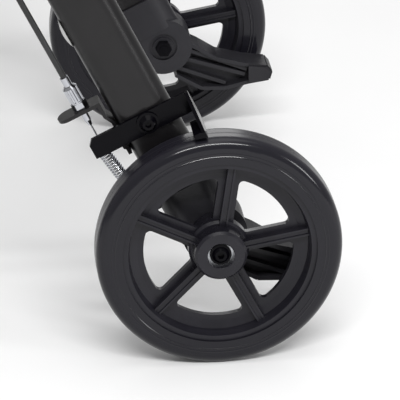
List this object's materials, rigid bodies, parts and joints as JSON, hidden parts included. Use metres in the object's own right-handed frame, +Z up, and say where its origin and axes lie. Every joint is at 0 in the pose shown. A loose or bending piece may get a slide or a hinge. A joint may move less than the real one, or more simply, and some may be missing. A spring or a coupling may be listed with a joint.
{
  "type": "knee scooter",
  "caption": "Four-wheeled steerable knee scooter with a padded knee rest, folding stem, hand brakes and sprung brake shoes on the rear wheels.",
  "frame": {"origin": "on the ground, midway between the axles, on the scooter's centre plane", "axes": "+X forward, +Y to the rider's left, +Z up"},
  "size_m": [0.8042, 0.52, 0.9315],
  "materials": {
    "frame_paint": "satin",
    "rim_plastic": "moulded",
    "tyre": "smooth",
    "foot_plastic": "fine grain",
    "steel": "zinc plated",
    "chrome": "polished",
    "alloy": "machined",
    "black_steel": "gloss",
    "brass": "plain",
    "rubber": "matte",
    "pale_rubber": "matte",
    "cable_jacket": "satin",
    "bushing": "plain",
    "pad_cover": "soft",
    "grip_foam": "ribbed"
  },
  "bodies": {
    "frame": {"main_beam": "frame_paint", "head_tube": "frame_paint", "steering_bearings": "bushing", "seat_tube": "frame_paint", "rear_crossbar": "frame_paint", "crossbar_caps": "rubber", "leg_sockets": "foot_plastic", "left_leg": "frame_paint", "right_leg": "frame_paint", "left_leg_foot": "foot_plastic", "right_leg_foot": "foot_plastic", "rear_axle_bolts": "black_steel", "adjuster_brackets": "frame_paint", "brake_fasteners": "black_steel", "barrel_adjusters": "chrome", "leg_bumpers": "pale_rubber", "rear_cables": "cable_jacket", "front_cables": "cable_jacket", "cable_clips": "foot_plastic", "seat_clamp": "black_steel", "front_axle_beam": "frame_paint", "kingpin_bushes": "bushing", "return_springs": "chrome", "brake_wires": "steel"},
    "steering_column": {"steering_column": "frame_paint", "fold_pin": "steel"},
    "fold_lever": {"fold_lever": "black_steel"},
    "track_rod": {"track_rod": "black_steel", "rod_pins": "steel"},
    "stem": {"stem_tube": "frame_paint", "stem_clamp": "black_steel"},
    "stem_clamp_lever": {"stem_clamp_lever": "black_steel"},
    "handlebar": {"handlebar": "frame_paint", "handlebar_grips": "grip_foam", "brake_perches": "foot_plastic"},
    "seat": {"seat_post": "frame_paint", "knee_pad": "pad_cover", "pad_bolts": "steel"},
    "seat_clamp_lever": {"seat_clamp_lever": "black_steel"},
    "left_knuckle": {"left_knuckle": "black_steel", "left_knuckle_hardware": "steel"},
    "left_brake_lever": {"left_brake_lever": "black_steel"},
    "left_brake_arm": {"left_brake_arm": "black_steel"},
    "front_left_wheel": {"front_left_rim": "rim_plastic", "front_left_tyre": "tyre", "front_left_bearings": "steel"},
    "rear_left_wheel": {"rear_left_rim": "rim_plastic", "rear_left_tyre": "tyre", "rear_left_bearings": "steel"},
    "right_knuckle": {"right_knuckle": "black_steel", "right_knuckle_hardware": "steel"},
    "right_brake_lever": {"right_brake_lever": "black_steel"},
    "right_brake_arm": {"right_brake_arm": "black_steel"},
    "front_right_wheel": {"front_right_rim": "rim_plastic", "front_right_tyre": "tyre", "front_right_bearings": "steel"},
    "rear_right_wheel": {"rear_right_rim": "rim_plastic", "rear_right_tyre": "tyre", "rear_right_bearings": "steel"}
  },
  "joints": [
    {"name": "steer", "type": "hinge", "parent": "frame", "child": "steering_column", "pos_m": [0.27921, 0, 0.19931], "axis": [-0.2079, 0, 0.9781], "range_deg": [-25, 25], "deforming": ["front_cables"]},
    {"name": "left_knuckle", "type": "hinge", "parent": "frame", "child": "left_knuckle", "pos_m": [0.3, 0.115, 0.1015], "axis": [-0.2079, 0, 0.9781], "range_deg": [-25, 25]},
    {"name": "right_knuckle", "type": "hinge", "parent": "frame", "child": "right_knuckle", "pos_m": [0.3, -0.115, 0.1015], "axis": [-0.2079, 0, 0.9781], "range_deg": [-25, 25]},
    {"name": "track_rod", "type": "hinge", "parent": "steering_column", "child": "track_rod", "pos_m": [0.25858, 0, 0.05589], "axis": [-0.2079, 0, 0.9781], "range_deg": [-25, 25]},
    {"name": "rear_left_wheel", "type": "hinge", "parent": "frame", "child": "rear_left_wheel", "pos_m": [-0.3, 0.24, 0.1015], "axis": [0, 1, 0], "continuous": true},
    {"name": "front_left_wheel", "type": "hinge", "parent": "left_knuckle", "child": "front_left_wheel", "pos_m": [0.3, 0.165, 0.1015], "axis": [0, 1, 0], "continuous": true},
    {"name": "rear_right_wheel", "type": "hinge", "parent": "frame", "child": "rear_right_wheel", "pos_m": [-0.3, -0.24, 0.1015], "axis": [0, 1, 0], "continuous": true},
    {"name": "front_right_wheel", "type": "hinge", "parent": "right_knuckle", "child": "front_right_wheel", "pos_m": [0.3, -0.165, 0.1015], "axis": [0, 1, 0], "continuous": true},
    {"name": "stem_fold", "type": "hinge", "parent": "steering_column", "child": "stem", "pos_m": [0.1778, 0, 0.54171], "axis": [0, 1, 0], "range_deg": [-78, 0], "deforming": ["front_cables"]},
    {"name": "fold_lever", "type": "hinge", "parent": "steering_column", "child": "fold_lever", "pos_m": [0.1778, 0.03, 0.54171], "axis": [-0.2079, 0, 0.9781], "range_deg": [0, 90]},
    {"name": "handlebar_height", "type": "slide", "parent": "stem", "child": "handlebar", "axis": [-0.2079, 0, 0.9781], "range_m": [0, 0.08], "deforming": ["front_cables"]},
    {"name": "stem_clamp_lever", "type": "hinge", "parent": "stem", "child": "stem_clamp_lever", "pos_m": [0.13186, 0.0185, 0.75788], "axis": [-0.2079, 0, 0.9781], "range_deg": [0, 90]},
    {"name": "left_brake_lever", "type": "hinge", "parent": "handlebar", "child": "left_brake_lever", "pos_m": [0.15232, 0.12516, 0.91865], "axis": [-0.2079, 0, 0.9781], "range_deg": [0, 14], "stiffness_Nm_per_rad": 0.6},
    {"name": "left_brake_arm", "type": "hinge", "parent": "frame", "child": "left_brake_arm", "pos_m": [-0.24466, 0.202, 0.20576], "axis": [0, -1, 0], "range_deg": [0, 3.5], "deforming": ["return_springs", "brake_wires"]},
    {"name": "right_brake_lever", "type": "hinge", "parent": "handlebar", "child": "right_brake_lever", "pos_m": [0.15232, -0.12516, 0.91865], "axis": [0.2079, 0, -0.9781], "range_deg": [0, 14], "stiffness_Nm_per_rad": 0.6},
    {"name": "right_brake_arm", "type": "hinge", "parent": "frame", "child": "right_brake_arm", "pos_m": [-0.24466, -0.202, 0.20576], "axis": [0, -1, 0], "range_deg": [0, 3.5], "deforming": ["return_springs", "brake_wires"]},
    {"name": "seat_height", "type": "slide", "parent": "frame", "child": "seat", "axis": [0, 0, 1], "range_m": [0, 0.07]},
    {"name": "seat_clamp_lever", "type": "hinge", "parent": "frame", "child": "seat_clamp_lever", "pos_m": [-0.0295, 0.021, 0.41608], "axis": [0, 0, -1], "range_deg": [0, 90]}
  ],
  "couplings": [
    {"joint": "left_knuckle", "follows": "steer", "ratio": 1},
    {"joint": "right_knuckle", "follows": "steer", "ratio": 1},
    {"joint": "track_rod", "follows": "steer", "ratio": -1},
    {"joint": "left_brake_arm", "follows": "left_brake_lever", "ratio": 0.24},
    {"joint": "right_brake_arm", "follows": "right_brake_lever", "ratio": 0.24}
  ]
}
